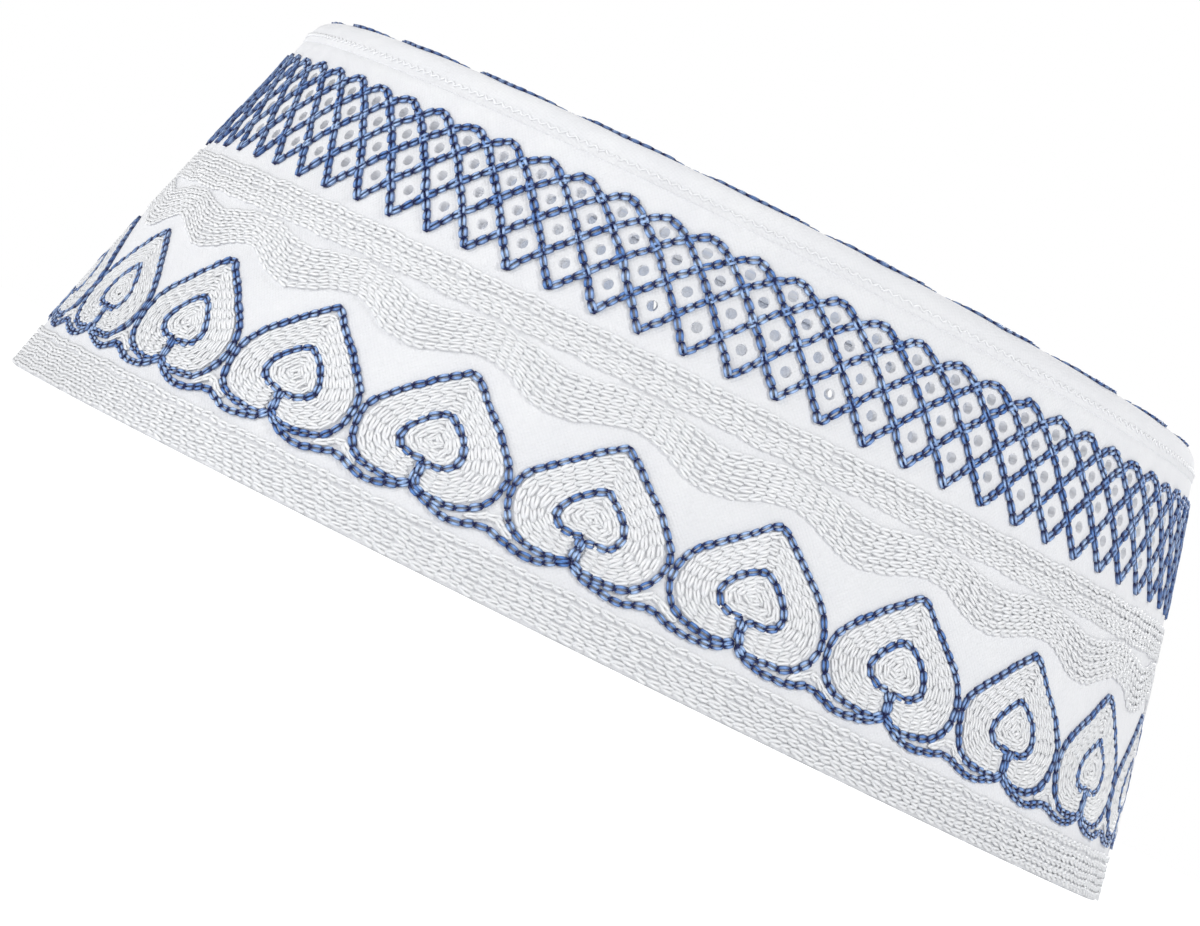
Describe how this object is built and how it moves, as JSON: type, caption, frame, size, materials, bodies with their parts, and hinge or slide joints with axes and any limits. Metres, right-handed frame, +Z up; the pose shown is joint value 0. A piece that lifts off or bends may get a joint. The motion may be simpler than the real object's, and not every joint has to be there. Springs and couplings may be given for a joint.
{
  "type": "embroidered kufi cap",
  "caption": "Stiff white cotton cap with a flat top, sides leaning in, blue chain-stitch hearts and a pierced diamond lattice; it stands on its rim and fits over a head.",
  "frame": {"origin": "middle of the cap's box at the surface it stands on, under the rim", "axes": "+Z up through the flat top, +X along the longer way of the oval rim, +Y towards the back join, -X towards the pressed fold"},
  "size_m": [0.1928, 0.1778, 0.071],
  "materials": {
    "cotton_outside": "bleached white cotton with rows of white chain stitch",
    "cotton_inside": "slightly fuzzy grey-white wrong side of the cotton",
    "thread_white": "bleached, slightly glossy cotton thread",
    "thread_blue": "blue thread, light where a loop lies open and navy where the loops meet"
  },
  "bodies": {
    "root": {"side_band": "cotton_outside", "crown_top": "cotton_outside", "back_seam": "cotton_inside"}
  },
  "joints": []
}
